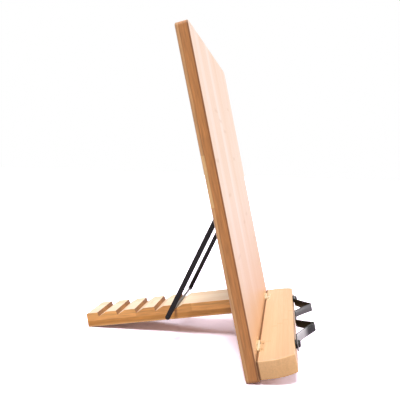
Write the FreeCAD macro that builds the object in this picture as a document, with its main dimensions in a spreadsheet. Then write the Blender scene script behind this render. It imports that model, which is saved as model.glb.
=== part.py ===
import FreeCAD, Part
import math
import os

import Sketcher

Vector = FreeCAD.Vector
Rotation = FreeCAD.Rotation
Placement = FreeCAD.Placement

# The stand faces -Y, the book leans back towards +Y, and the origin is at the middle of its footprint.
ACROSS = Vector(1, 0, 0)
BACKWARD = Vector(0, 1, 0)
UPWARD = Vector(0, 0, 1)

SIZES = [
    ("board_width", 240.0, "board and ledge, left to right"),
    ("board_height", 340.0, "board, bottom edge to top edge"),
    ("board_thickness", 13.3, "board, front to back"),
    ("board_corner", 4.0, "radius of the board's corners seen from the front"),
    ("board_round", 1.5, "radius of the board's long edges"),
    ("ledge_depth", 36.0, "ledge, back to front"),
    ("ledge_thickness", 18.5, "ledge, top to bottom"),
    ("ledge_height", 21.5, "ledge's top face above the board's bottom edge"),
    ("ledge_gap", 0.5, "gap between ledge and board, open or folded"),
    ("ledge_round", 1.2, "radius of the ledge's edges"),
    ("ledge_corner", 40.0, "radius of the ledge's front corners seen from above"),
    ("ledge_straight", 11.0, "ledge's back to where a front corner starts to round"),
    ("leg_width", 46.6, "support leg, left to right"),
    ("leg_thickness", 16.9, "support leg, top to bottom"),
    ("leg_reach", 193.4, "hinge axis to the end of the leg's tail"),
    ("leg_round", 1.5, "radius of the leg's tail end"),
    ("leg_root_gap", 1.5, "gap between the leg's root and the board's back"),
    ("notch_count", 5, "notches in the leg"),
    ("notch_first", 14.5, "tail end to the first notch's wall"),
    ("notch_pitch", 24.3, "notch to notch"),
    ("notch_depth", 5.1, "depth of a notch"),
    ("notch_lean", 1.25, "overhang of a notch's wall"),
    ("notch_length", 11.5, "wall to the end of the ramp"),
    ("notch_used", 5, "notch that the crossbar sits in, counted from the tail"),
    ("seat_clearance", 0.15, "crossbar to the notch's wall and ramp"),
    ("leg_hinge_height", 57.8, "leg hinge axis above the board's bottom edge"),
    ("leg_hinge_length", 40.0, "leg hinge, left to right"),
    ("leg_hinge_depth", 14.0, "leg hinge axis to the leaf's free edge"),
    ("leg_hinge_plate", 1.5, "leg hinge leaf thickness"),
    ("leg_hinge_barrel", 2.5, "leg hinge barrel radius"),
    ("leg_hinge_knuckle", 11.0, "length of an outer knuckle"),
    ("leg_hinge_pin", 1.1, "leg hinge pin radius"),
    ("leg_screw_count", 3, "screws in a leaf of the leg hinge"),
    ("leg_screw_spread", 14.0, "screw to screw along the leg hinge"),
    ("ledge_hinge_inset", 35.0, "board's side edge to the middle of a ledge hinge"),
    ("ledge_hinge_length", 25.0, "ledge hinge, left to right"),
    ("ledge_hinge_depth", 6.5, "ledge hinge axis to the leaf's free edge"),
    ("ledge_hinge_plate", 1.0, "ledge hinge leaf thickness"),
    ("ledge_hinge_barrel", 1.8, "ledge hinge barrel radius"),
    ("ledge_hinge_knuckle", 7.0, "length of an outer knuckle"),
    ("ledge_hinge_pin", 0.8, "ledge hinge pin radius"),
    ("ledge_screw_count", 2, "screws in a leaf of a ledge hinge"),
    ("ledge_screw_spread", 14.0, "screw to screw along a ledge hinge"),
    ("arm_place", 59.0, "middle of the stand to the middle of a prop arm"),
    ("arm_length", 126.6, "prop arm, pivot to crossbar"),
    ("arm_width", 5.5, "prop arm, seen from the side"),
    ("arm_thickness", 1.8, "prop arm, left to right"),
    ("crossbar_radius", 1.5, "crossbar between the arms"),
    ("crossbar_neck", 1.1, "crossbar where it passes through an arm"),
    ("crossbar_head", 2.0, "radius of the crossbar's peened ends"),
    ("crossbar_head_height", 0.9, "thickness of the crossbar's peened ends"),
    ("pivot_height", 156.4, "prop pivot above the board's bottom edge"),
    ("pivot_offset", 5.2, "prop pivot behind the board's back"),
    ("pivot_radius", 1.3, "rivet shank that the arm turns on"),
    ("pivot_head", 2.6, "radius of the rivet's heads"),
    ("pivot_head_height", 1.0, "thickness of the rivet's heads"),
    ("bracket_plate", 1.5, "bracket sheet thickness"),
    ("bracket_width", 14.0, "bracket foot, left to right"),
    ("bracket_height", 30.0, "bracket foot, bottom to top"),
    ("bracket_ear", 4.6, "radius of the bracket's ear round the pivot"),
    ("bracket_screw_count", 2, "screws in a bracket"),
    ("bracket_screw_spread", 20.0, "screw to screw along the bracket"),
    ("clip_middle", 4.0, "ledge's middle to a clip's tip"),
    ("clip_drop", 5.6, "ledge's top face to a clip's screw"),
    ("clip_width", 9.5, "clip strip at its screw"),
    ("clip_tip_width", 7.6, "clip strip at its tip"),
    ("clip_plate", 1.3, "clip strip thickness"),
    ("clip_bend", 1.6, "inner radius of the clip's bends"),
    ("clip_end", 9.0, "clip's screw to its round end"),
    ("clip_foot", 14.0, "clip's screw to the bend at its foot"),
    ("clip_peak", 43.0, "clip's screw to its peak"),
    ("clip_rise", 20.5, "height of the peak above the foot"),
    ("clip_return", 60.0, "clip's screw to the bend at its tip"),
    ("clip_reach", 72.0, "clip's screw to its tip"),
    ("washer_radius", 4.4, "washer behind a clip"),
    ("washer_height", 1.4, "washer thickness"),
    ("clip_screw_radius", 1.6, "shank of a clip's screw"),
    ("clip_screw_head", 3.9, "head radius of a clip's screw"),
    ("clip_screw_dome", 2.6, "head height of a clip's screw"),
    ("clip_screw_length", 16.0, "clip's screw below its head"),
    ("screw_radius", 1.5, "shank of a hinge or bracket screw"),
    ("screw_head", 2.8, "head radius of a hinge or bracket screw"),
    ("screw_length", 10.0, "hinge or bracket screw, overall"),
    ("small_screw_radius", 0.9, "shank of a ledge hinge screw"),
    ("small_screw_head", 1.6, "head radius of a ledge hinge screw"),
    ("small_screw_length", 8.0, "ledge hinge screw, overall"),
    ("screw_tip", 2.0, "length of a screw's pointed tip"),
    ("recess_width", 0.7, "width of the slots in a screw's cross recess"),
    ("fit_clearance", 0.05, "shaft in its hole, and metal in its mortise"),
    ("face_clearance", 0.1, "between flat faces that slide on each other"),
    ("knuckle_gap", 0.3, "end gap between two hinge knuckles"),
    ("barrel_clearance", 0.4, "round a hinge barrel"),
    ("ear_gap", 0.3, "gap between a prop arm and its bracket's ear"),
]


class Size:
    """A length with its number and the sheet formula that gives it."""

    def __init__(self, value, formula=None):
        self.value = float(value)
        self.formula = formula if formula is not None else repr(float(value))

    @staticmethod
    def of(other):
        return other if isinstance(other, Size) else Size(other)

    def __add__(self, other):
        other = Size.of(other)
        return Size(self.value + other.value, f"({self.formula} + {other.formula})")

    def __sub__(self, other):
        other = Size.of(other)
        return Size(self.value - other.value, f"({self.formula} - {other.formula})")

    def __mul__(self, other):
        other = Size.of(other)
        return Size(self.value * other.value, f"({self.formula} * {other.formula})")

    def __truediv__(self, other):
        other = Size.of(other)
        return Size(self.value / other.value, f"({self.formula} / {other.formula})")

    def __neg__(self):
        return Size(-self.value, f"(0 - {self.formula})")


class Sheet:
    """The spreadsheet of driving sizes, with each size as an attribute."""

    def __init__(self, document, rows):
        self.object = document.addObject("Spreadsheet::Sheet", "Sizes")
        for row, (alias, value, note) in enumerate(rows, start=1):
            self.object.set(f"A{row}", note)
            self.object.set(f"B{row}", str(value))
            self.object.setAlias(f"B{row}", alias)
            setattr(self, alias, Size(value, f"Sizes.{alias}"))


doc = FreeCAD.newDocument("book_stand")
size = Sheet(doc, SIZES)
doc.recompute()
ZERO = Size(0)


# Sketches and features
def new_body(label):
    body = doc.addObject("PartDesign::Body", label)
    body.Label = label
    return body


def new_sketch(body, name, plane, offset=ZERO):
    """Sketch on one of the body's own origin planes, moved along the plane's normal."""
    sketch = body.newObject("Sketcher::SketchObject", name)
    origin = next(item for item in body.Origin.OriginFeatures if item.Role == plane)
    sketch.AttachmentSupport = [(origin, "")]
    sketch.MapMode = "FlatFace"
    if offset.value:
        sketch.AttachmentOffset = Placement(Vector(0, 0, offset.value), Rotation())
        sketch.setExpression("AttachmentOffset.Base.z", offset.formula)
    return sketch


def bind(sketch, kind, *arguments):
    """Adds a dimension whose value follows its size's formula."""
    *places, value = arguments
    index = sketch.addConstraint(Sketcher.Constraint(kind, *places, value.value))
    sketch.setExpression(f"Constraints[{index}]", value.formula)


def pin_point(sketch, geometry, point, x, y):
    bind(sketch, "DistanceX", -1, 1, geometry, point, Size.of(x))
    bind(sketch, "DistanceY", -1, 1, geometry, point, Size.of(y))


def polygon(body, name, plane, corners, offset=ZERO):
    sketch = new_sketch(body, name, plane, offset)
    corners = [(Size.of(x), Size.of(y)) for x, y in corners]
    count = len(corners)
    for index, (x, y) in enumerate(corners):
        next_x, next_y = corners[(index + 1) % count]
        start = Vector(x.value, y.value, 0)
        end = Vector(next_x.value, next_y.value, 0)
        sketch.addGeometry(Part.LineSegment(start, end), False)
    for index in range(count):
        sketch.addConstraint(Sketcher.Constraint("Coincident", index, 2, (index + 1) % count, 1))
    for index, (x, y) in enumerate(corners):
        pin_point(sketch, index, 1, x, y)
    return sketch


def rectangle(body, name, plane, low, high, offset=ZERO):
    (left, bottom), (right, top) = low, high
    corners = [(left, bottom), (right, bottom), (right, top), (left, top)]
    return polygon(body, name, plane, corners, offset)


def circles(body, name, plane, centres, radius, offset=ZERO):
    sketch = new_sketch(body, name, plane, offset)
    for index, (x, y) in enumerate(centres):
        x, y = Size.of(x), Size.of(y)
        centre = Vector(x.value, y.value, 0)
        sketch.addGeometry(Part.Circle(centre, UPWARD, radius.value), False)
        pin_point(sketch, index, 3, x, y)
        bind(sketch, "Radius", index, radius)
    return sketch


def upright_slot(body, name, plane, bottom, top, radius, offset=ZERO):
    """Bar outline with round ends, from a bottom centre to a top centre straight above it."""
    sketch = new_sketch(body, name, plane, offset)
    (x, low), (_, high) = bottom, top
    x, low, high = Size.of(x), Size.of(low), Size.of(high)
    left, right = x.value - radius.value, x.value + radius.value
    upper = Part.Circle(Vector(x.value, high.value, 0), UPWARD, radius.value)
    lower = Part.Circle(Vector(x.value, low.value, 0), UPWARD, radius.value)
    sketch.addGeometry(Part.ArcOfCircle(upper, 0, math.pi), False)
    sketch.addGeometry(Part.LineSegment(Vector(left, high.value, 0), Vector(left, low.value, 0)), False)
    sketch.addGeometry(Part.ArcOfCircle(lower, math.pi, 2 * math.pi), False)
    sketch.addGeometry(Part.LineSegment(Vector(right, low.value, 0), Vector(right, high.value, 0)), False)
    for first, second in ((0, 1), (1, 2), (2, 3), (3, 0)):
        sketch.addConstraint(Sketcher.Constraint("Tangent", first, 2, second, 1))
    pin_point(sketch, 0, 3, x, high)
    pin_point(sketch, 2, 3, x, low)
    bind(sketch, "Radius", 0, radius)
    return sketch


def pad(body, name, sketch, length, symmetric=False, backwards=False):
    feature = body.newObject("PartDesign::Pad", name)
    feature.Profile = sketch
    feature.SideType = "Symmetric" if symmetric else "One side"
    feature.Reversed = backwards
    feature.Length = length.value
    feature.setExpression("Length", length.formula)
    return feature


def pocket(body, name, sketch, length, symmetric=False, backwards=False):
    feature = body.newObject("PartDesign::Pocket", name)
    feature.Profile = sketch
    feature.SideType = "Symmetric" if symmetric else "One side"
    feature.Reversed = backwards
    feature.Length = length.value
    feature.setExpression("Length", length.formula)
    return feature


def turned(body, name, sketch, axis):
    """Solid of revolution round one of the sketch's own axes."""
    feature = body.newObject("PartDesign::Revolution", name)
    feature.Profile = sketch
    feature.ReferenceAxis = (sketch, [axis])
    feature.Angle = 360
    return feature


def dress(body, kind, name, base, edges, amount):
    """Fillet or chamfer on the named edges of a feature."""
    feature = body.newObject(f"PartDesign::{kind}", name)
    feature.Base = (base, edges)
    measure = "Radius" if kind == "Fillet" else "Size"
    setattr(feature, measure, amount.value)
    feature.setExpression(measure, amount.formula)
    return feature


def edges_where(feature, wanted):
    """Names of the feature's edges that pass a test."""
    doc.recompute()
    edges = feature.Shape.Edges
    return [f"Edge{index}" for index, edge in enumerate(edges, start=1) if wanted(edge)]


def runs_along(direction):
    def test(edge):
        if not isinstance(edge.Curve, Part.Line):
            return False
        return abs(abs(edge.Curve.Direction.dot(direction)) - 1) < 1e-6
    return test


def lies_at(direction, distance):
    def test(edge):
        ends = [vertex.Point.dot(direction) for vertex in edge.Vertexes]
        return all(abs(end - distance) < 1e-4 for end in ends)
    return test


def both(first, second):
    return lambda edge: first(edge) and second(edge)


# Wooden pieces, drawn in the board's own frame: x across, y backward, z up the board
LEAF_SIDES = (-1, 1)


def spread_places(middle, spread, count):
    """Places of a row of screws, centred on the middle."""
    whole = int(count.value)
    return [middle + spread * (index - (whole - 1) / 2) for index in range(whole)]


class HingeSizes:
    """The sizes of one kind of butt hinge, and what its leaves need cut in the wood."""

    def __init__(self, name, seat):
        self.length = getattr(size, f"{name}_hinge_length")
        self.depth = getattr(size, f"{name}_hinge_depth")
        self.plate = getattr(size, f"{name}_hinge_plate")
        self.barrel = getattr(size, f"{name}_hinge_barrel")
        self.knuckle = getattr(size, f"{name}_hinge_knuckle")
        self.pin = getattr(size, f"{name}_hinge_pin")
        self.spread = getattr(size, f"{name}_screw_spread")
        self.screws = getattr(size, f"{name}_screw_count")
        self.seat = seat
        self.window = self.barrel + size.barrel_clearance
        self.screw_line = (self.window + self.depth) / 2
        self.pin_half = self.length / 2 + size.fit_clearance
        self.pin_head = self.pin / 2
        self.groove_length = (self.pin_half + self.pin_head + size.barrel_clearance) * 2


leg_hinge = HingeSizes("leg", size.leg_hinge_barrel + size.face_clearance)
ledge_hinge = HingeSizes("ledge", size.ledge_gap / 2 + size.ledge_hinge_plate)

# The ledge is as wide as the board. Its hinges keep their distance from its side edges, and the
# clips' tips keep theirs from its middle
ledge_hinge_place = size.board_width / 2 - size.ledge_hinge_inset
clip_place = size.clip_middle + size.clip_reach
ledge_back = -(size.board_thickness + size.ledge_gap)
ledge_front = ledge_back - size.ledge_depth
ledge_bend = ledge_back - size.ledge_straight
ledge_axis_y = -(size.board_thickness + size.ledge_gap / 2)
ledge_axis_z = size.ledge_height + size.ledge_gap / 2
screw_bite = size.screw_length - size.leg_hinge_plate
bracket_bite = size.screw_length - size.bracket_plate
small_bite = size.small_screw_length - size.ledge_hinge_plate
pilot = size.screw_radius + size.fit_clearance
small_pilot = size.small_screw_radius + size.fit_clearance
ear_face = size.arm_place - size.arm_thickness / 2 - size.ear_gap
bracket_middle = ear_face - size.bracket_plate - (size.bracket_width - size.bracket_plate) / 2


def bracket_screws(side):
    return [(bracket_middle * side, z)
            for z in spread_places(size.pivot_height, size.bracket_screw_spread, size.bracket_screw_count)]


def make_back_panel():
    body = new_body("back_panel")
    half = size.board_width / 2
    outline = rectangle(body, "board_outline", "XZ_Plane", (-half, 0), (half, size.board_height))
    board = pad(body, "board_pad", outline, size.board_thickness)
    corners = edges_where(board, runs_along(BACKWARD))
    cornered = dress(body, "Fillet", "board_corners", board, corners, size.board_corner)
    front = lies_at(BACKWARD, -size.board_thickness.value)
    back = lies_at(BACKWARD, 0)
    rims = edges_where(cornered, lambda edge: front(edge) or back(edge))
    dress(body, "Fillet", "board_rims", cornered, rims, size.board_round)

    for side in LEAF_SIDES:
        word = "left" if side < 0 else "right"
        middle = ledge_hinge_place * side
        reach = ledge_hinge.length / 2 + size.fit_clearance
        mortise = rectangle(
            body, f"{word}_mortise_outline", "XZ_Plane",
            (middle - reach, ledge_axis_z),
            (middle + reach, ledge_axis_z + ledge_hinge.depth + size.fit_clearance),
            size.board_thickness,
        )
        pocket(body, f"{word}_mortise", mortise, ledge_hinge.plate + size.fit_clearance)
        groove = circles(
            body, f"{word}_groove_outline", "YZ_Plane", [(ledge_axis_y, ledge_axis_z)],
            ledge_hinge.window, middle,
        )
        pocket(body, f"{word}_groove", groove, ledge_hinge.groove_length, symmetric=True)
        places = [(x, ledge_axis_z + ledge_hinge.screw_line)
                  for x in spread_places(middle, ledge_hinge.spread, ledge_hinge.screws)]
        pilots = circles(body, f"{word}_pilot_outline", "XZ_Plane", places, small_pilot,
                         size.board_thickness)
        pocket(body, f"{word}_pilots", pilots,
               ledge_hinge.plate + small_bite + size.face_clearance)

    places = [(x, size.leg_hinge_height + leg_hinge.screw_line)
              for x in spread_places(ZERO, leg_hinge.spread, leg_hinge.screws)]
    pilots = circles(body, "leg_pilot_outline", "XZ_Plane", places, pilot)
    pocket(body, "leg_pilots", pilots, screw_bite + size.face_clearance, backwards=True)
    places = [place for side in LEAF_SIDES for place in bracket_screws(side)]
    pilots = circles(body, "bracket_pilot_outline", "XZ_Plane", places, pilot)
    pocket(body, "bracket_pilots", pilots, bracket_bite + size.face_clearance, backwards=True)
    return body


def ledge_plan(body):
    """Ledge seen from above: straight at the back, with its front corners rounded off."""
    sketch = new_sketch(body, "ledge_outline", "XY_Plane", size.ledge_height - size.ledge_thickness)
    half = size.board_width / 2
    round_x = half - size.ledge_corner
    turn = math.asin((ledge_bend - ledge_front).value / size.ledge_corner.value)
    right = Part.ArcOfCircle(Part.Circle(Vector(round_x.value, ledge_bend.value, 0), UPWARD,
                                         size.ledge_corner.value), -turn, 0)
    left = Part.ArcOfCircle(Part.Circle(Vector(-round_x.value, ledge_bend.value, 0), UPWARD,
                                        size.ledge_corner.value), math.pi, math.pi + turn)
    back_right = Vector(half.value, ledge_back.value, 0)
    back_left = Vector(-half.value, ledge_back.value, 0)
    for geometry in (right, Part.LineSegment(right.EndPoint, back_right),
                     Part.LineSegment(back_right, back_left),
                     Part.LineSegment(back_left, left.StartPoint), left,
                     Part.LineSegment(left.EndPoint, right.StartPoint)):
        sketch.addGeometry(geometry, False)
    for index in range(6):
        sketch.addConstraint(Sketcher.Constraint("Coincident", index, 2, (index + 1) % 6, 1))
    pin_point(sketch, 2, 1, half, ledge_back)
    pin_point(sketch, 2, 2, half * -1, ledge_back)
    for arc, side, at_front, at_bend in ((0, 1, 1, 2), (4, -1, 2, 1)):
        pin_point(sketch, arc, 3, round_x * side, ledge_bend)
        bind(sketch, "Radius", arc, size.ledge_corner)
        bind(sketch, "DistanceY", -1, 1, arc, at_front, ledge_front)
        bind(sketch, "DistanceY", -1, 1, arc, at_bend, ledge_bend)
    return sketch


def make_ledge():
    body = new_body("ledge")
    bar = pad(body, "ledge_pad", ledge_plan(body), size.ledge_thickness)
    back = lies_at(BACKWARD, ledge_back.value)
    bend = lies_at(BACKWARD, ledge_bend.value)
    edges = edges_where(bar, lambda edge: not back(edge) and not bend(edge))
    dress(body, "Fillet", "ledge_edges", bar, edges, size.ledge_round)

    for side in LEAF_SIDES:
        word = "left" if side < 0 else "right"
        middle = ledge_hinge_place * side
        reach = ledge_hinge.length / 2 + size.fit_clearance
        mortise = rectangle(
            body, f"{word}_mortise_outline", "XY_Plane",
            (middle - reach, ledge_axis_y - ledge_hinge.depth - size.fit_clearance),
            (middle + reach, ledge_axis_y), size.ledge_height,
        )
        pocket(body, f"{word}_mortise", mortise, ledge_hinge.plate + size.fit_clearance)
        groove = circles(
            body, f"{word}_groove_outline", "YZ_Plane", [(ledge_axis_y, ledge_axis_z)],
            ledge_hinge.window, middle,
        )
        pocket(body, f"{word}_groove", groove, ledge_hinge.groove_length, symmetric=True)
        places = [(x, ledge_axis_y - ledge_hinge.screw_line)
                  for x in spread_places(middle, ledge_hinge.spread, ledge_hinge.screws)]
        pilots = circles(body, f"{word}_pilot_outline", "XY_Plane", places, small_pilot,
                         size.ledge_height)
        pocket(body, f"{word}_pilots", pilots,
               ledge_hinge.plate + small_bite + size.face_clearance)

    places = [(clip_place * side, size.ledge_height - size.clip_drop) for side in LEAF_SIDES]
    pilots = circles(body, "clip_pilot_outline", "XZ_Plane", places,
                     size.clip_screw_radius + size.fit_clearance, -ledge_front)
    pocket(body, "clip_pilots", pilots, size.clip_screw_length)
    return body


# The leg and what is on it, drawn in the leg's frame: x across, y from the hinge axis to the tail,
# z square to its top face, with the hinge axis at the origin
leg_top = -leg_hinge.seat
leg_bottom = leg_top - size.leg_thickness
leg_root = size.leg_root_gap - leg_hinge.seat


def notch_wall(number):
    """Distance of a notch's wall from the hinge axis, with number 1 next to the tail."""
    return size.leg_reach - size.notch_first - size.notch_pitch * (number - 1)


def make_support_leg():
    body = new_body("support_leg")
    corners = [(leg_root, leg_top)]
    for number in range(int(size.notch_count.value), 0, -1):
        wall = notch_wall(number)
        corners.append((wall - size.notch_length, leg_top))
        corners.append((wall - size.notch_lean, leg_top - size.notch_depth))
        corners.append((wall, leg_top))
    corners.append((size.leg_reach, leg_top))
    corners.append((size.leg_reach, leg_bottom))
    corners.append((leg_root, leg_bottom))
    outline = polygon(body, "leg_outline", "YZ_Plane", corners)
    bar = pad(body, "leg_pad", outline, size.leg_width, symmetric=True)
    tail = lies_at(BACKWARD, size.leg_reach.value)
    edges = edges_where(bar, both(runs_along(ACROSS), tail))
    dress(body, "Fillet", "leg_tail", bar, edges, size.leg_round)
    places = [(x, leg_hinge.screw_line)
              for x in spread_places(ZERO, leg_hinge.spread, leg_hinge.screws)]
    pilots = circles(body, "leg_pilot_outline", "XY_Plane", places, pilot, leg_top)
    pocket(body, "leg_pilots", pilots, screw_bite + size.face_clearance)
    return body


# Hinge leaves, drawn round their own axis: the plate runs up z, with the wood behind it at -y
def make_leaf(label, hinge, outer, screw_radius, screw_head):
    """One leaf of a butt hinge, with the two outer knuckles or with the middle one."""
    body = new_body(label)
    half = hinge.length / 2
    inner = half - hinge.knuckle
    middle = inner - size.knuckle_gap
    if outer:
        corners = [(-half, 0), (-inner, 0), (-inner, hinge.window), (inner, hinge.window),
                   (inner, 0), (half, 0), (half, hinge.depth), (-half, hinge.depth)]
        starts, knuckle = (-half, inner), hinge.knuckle
    else:
        corners = [(-middle, 0), (middle, 0), (middle, hinge.window), (half, hinge.window),
                   (half, hinge.depth), (-half, hinge.depth), (-half, hinge.window),
                   (-middle, hinge.window)]
        starts, knuckle = (-middle,), middle * 2
    outline = polygon(body, "plate_outline", "XZ_Plane", corners, hinge.seat)
    pad(body, "plate", outline, hinge.plate, backwards=True)
    for index, start in enumerate(starts, start=1):
        ring = circles(body, f"knuckle_outline_{index}", "YZ_Plane", [(0, 0)], hinge.barrel, start)
        pad(body, f"knuckle_{index}", ring, knuckle)
    bore = circles(body, "bore_outline", "YZ_Plane", [(0, 0)], hinge.pin + size.fit_clearance)
    pocket(body, "bore", bore, hinge.length * 2, symmetric=True)
    places = [(x, hinge.screw_line) for x in spread_places(ZERO, hinge.spread, hinge.screws)]
    holes = circles(body, "screw_hole_outline", "XZ_Plane", places,
                    screw_radius + size.fit_clearance, hinge.seat)
    drilled = pocket(body, "screw_holes", holes, hinge.plate)
    free_face = lies_at(BACKWARD, (hinge.plate - hinge.seat).value)
    rims = edges_where(drilled, lambda edge: isinstance(edge.Curve, Part.Circle) and free_face(edge))
    dress(body, "Chamfer", "countersinks", drilled, rims, screw_head - screw_radius)
    return body


def make_hinge_pin(label, hinge):
    body = new_body(label)
    half, end = hinge.pin_half, hinge.pin_half + hinge.pin_head
    head = hinge.pin * 1.6
    corners = [(-end, 0), (end, 0), (end, head), (half, head), (half, hinge.pin),
               (-half, hinge.pin), (-half, head), (-end, head)]
    profile = polygon(body, "pin_outline", "XY_Plane", corners)
    turned(body, "pin", profile, "H_Axis")
    return body


# Screws, drawn with the head's face at the origin and the shank down -z
def make_countersunk_screw(label, radius, head, length):
    body = new_body(label)
    corners = [(0, 0), (head, 0), (radius, radius - head), (radius, size.screw_tip - length),
               (radius * 0.2, -length), (0, -length)]
    profile = polygon(body, "screw_outline", "XZ_Plane", corners)
    turned(body, "screw", profile, "V_Axis")
    cross_recess(body, head * 0.5, ZERO, (head - radius) * 0.8)
    return body


def make_clip_screw_body():
    body = new_body("clip_screw_pattern")
    head, dome, shank = size.clip_screw_head, size.clip_screw_dome, size.clip_screw_radius
    corners = [(0, -size.clip_screw_length), (shank * 0.2, -size.clip_screw_length),
               (shank, size.screw_tip - size.clip_screw_length),
               (shank, 0), (head, 0), (head, dome * 0.45), (head * 0.86, dome * 0.8),
               (head * 0.55, dome), (0, dome)]
    profile = polygon(body, "screw_outline", "XZ_Plane", corners)
    turned(body, "screw", profile, "V_Axis")
    cross_recess(body, head * 0.55, dome, dome * 0.5)
    return body


def cross_recess(body, reach, face, depth):
    """Two crossed slots cut down from the head's face."""
    half = size.recess_width / 2
    corners = [(-reach, -half), (-half, -half), (-half, -reach), (half, -reach), (half, -half),
               (reach, -half), (reach, half), (half, half), (half, reach), (-half, reach),
               (-half, half), (-reach, half)]
    outline = polygon(body, "recess_outline", "XY_Plane", corners, face)
    pocket(body, "recess", outline, depth)


# The prop, drawn round its pivot with the crossbar straight below it
def make_prop_arm(side):
    word = "left" if side < 0 else "right"
    body = new_body(f"prop_arm_{word}")
    start = size.arm_place * side - size.arm_thickness / 2
    bar = upright_slot(body, "arm_outline", "YZ_Plane", (0, -size.arm_length), (0, 0),
                       size.arm_width / 2, start)
    pad(body, "arm", bar, size.arm_thickness)
    pivot = circles(body, "pivot_outline", "YZ_Plane", [(0, 0)],
                    size.pivot_radius + size.fit_clearance, start)
    pocket(body, "pivot_hole", pivot, size.arm_thickness, backwards=True)
    end = circles(body, "end_outline", "YZ_Plane", [(0, -size.arm_length)],
                  size.crossbar_neck + size.fit_clearance, start)
    pocket(body, "crossbar_hole", end, size.arm_thickness, backwards=True)
    return body


def make_prop_crossbar():
    body = new_body("prop_crossbar")
    shoulder = size.arm_place - size.arm_thickness / 2 - size.fit_clearance
    outer = size.arm_place + size.arm_thickness / 2 + size.fit_clearance
    end = outer + size.crossbar_head_height
    right = [(end, size.crossbar_head * 0.6), (outer + size.crossbar_head_height / 2, size.crossbar_head),
             (outer, size.crossbar_head), (outer, size.crossbar_neck), (shoulder, size.crossbar_neck),
             (shoulder, size.crossbar_radius)]
    left = [(-x, y) for x, y in reversed(right)]
    corners = [(-end, 0), (end, 0)] + right + left
    profile = polygon(body, "crossbar_outline", "XY_Plane", corners)
    turned(body, "crossbar", profile, "H_Axis")
    return body


def make_pivot_rivet(side):
    word = "left" if side < 0 else "right"
    body = new_body(f"prop_pivot_rivet_{word}")
    inner = (ear_face - size.bracket_plate - size.fit_clearance) * side
    outer = (size.arm_place + size.arm_thickness / 2 + size.face_clearance) * side
    head = size.pivot_head_height * side
    corners = [(inner - head, 0), (outer + head, 0), (outer + head, size.pivot_head * 0.6),
               (outer + head / 2, size.pivot_head), (outer, size.pivot_head), (outer, size.pivot_radius),
               (inner, size.pivot_radius), (inner, size.pivot_head), (inner - head / 2, size.pivot_head),
               (inner - head, size.pivot_head * 0.6)]
    profile = polygon(body, "rivet_outline", "XY_Plane", corners)
    turned(body, "rivet", profile, "H_Axis")
    return body


def make_prop_bracket(side):
    """Angle bracket with a screwed foot on the board and one ear beside the arm."""
    word = "left" if side < 0 else "right"
    body = new_body(f"prop_bracket_{word}")
    far = (ear_face - size.bracket_width) * side
    near = ear_face * side
    low, high = (far, near) if side > 0 else (near, far)
    half = size.bracket_height / 2
    foot = rectangle(body, "foot_outline", "XZ_Plane",
                     (low, size.pivot_height - half), (high, size.pivot_height + half))
    pad(body, "foot", foot, size.bracket_plate, backwards=True)
    start = ear_face - size.bracket_plate if side > 0 else -ear_face
    root = rectangle(body, "ear_root_outline", "YZ_Plane", (0, size.pivot_height - size.bracket_ear),
                     (size.pivot_offset, size.pivot_height + size.bracket_ear), start)
    pad(body, "ear_root", root, size.bracket_plate)
    tip = circles(body, "ear_tip_outline", "YZ_Plane", [(size.pivot_offset, size.pivot_height)],
                  size.bracket_ear, start)
    pad(body, "ear_tip", tip, size.bracket_plate)
    hole = circles(body, "ear_hole_outline", "YZ_Plane", [(size.pivot_offset, size.pivot_height)],
                   size.pivot_radius + size.fit_clearance, start)
    pocket(body, "ear_hole", hole, size.bracket_plate, backwards=True)
    holes = circles(body, "screw_hole_outline", "XZ_Plane", bracket_screws(side), pilot)
    drilled = pocket(body, "screw_holes", holes, size.bracket_plate)
    free_face = lies_at(BACKWARD, size.bracket_plate.value)
    rims = edges_where(drilled, lambda edge: isinstance(edge.Curve, Part.Circle) and free_face(edge))
    dress(body, "Chamfer", "countersinks", drilled, rims, size.screw_head - size.screw_radius)
    return body


# Page clips, drawn with the screw's axis up z from the washer's face and the strip along x
def make_washer(side):
    word = "left" if side < 0 else "right"
    body = new_body(f"clip_washer_{word}")
    disc = circles(body, "washer_outline", "XY_Plane", [(0, 0)], size.washer_radius)
    pad(body, "washer", disc, size.washer_height, backwards=True)
    hole = circles(body, "washer_hole_outline", "XY_Plane", [(0, 0)],
                   size.clip_screw_radius + size.fit_clearance)
    pocket(body, "washer_hole", hole, size.washer_height)
    return body


def rounded_path(points, radius):
    """Wire through the points, with an arc of the radius at each inner point."""
    edges = []
    start = points[0]
    for before, corner, after in zip(points, points[1:], points[2:]):
        arriving = (corner - before).normalize()
        leaving = (after - corner).normalize()
        half_turn = arriving.getAngle(leaving) / 2
        setback = radius * math.tan(half_turn)
        first = corner - arriving * setback
        last = corner + leaving * setback
        middle_way = (leaving - arriving).normalize()
        centre = corner + middle_way * (radius / math.cos(half_turn))
        edges.append(Part.LineSegment(start, first).toShape())
        edges.append(Part.Arc(first, centre - middle_way * radius, last).toShape())
        start = last
    edges.append(Part.LineSegment(start, points[-1]).toShape())
    return Part.Wire(edges)


def strip_section(points, radius, thickness):
    """Face between the path and the same path shifted by the strip's thickness."""
    path = rounded_path(points, radius)
    return path.makeOffset2D(thickness / 2, fill=True, openResult=False)


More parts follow.
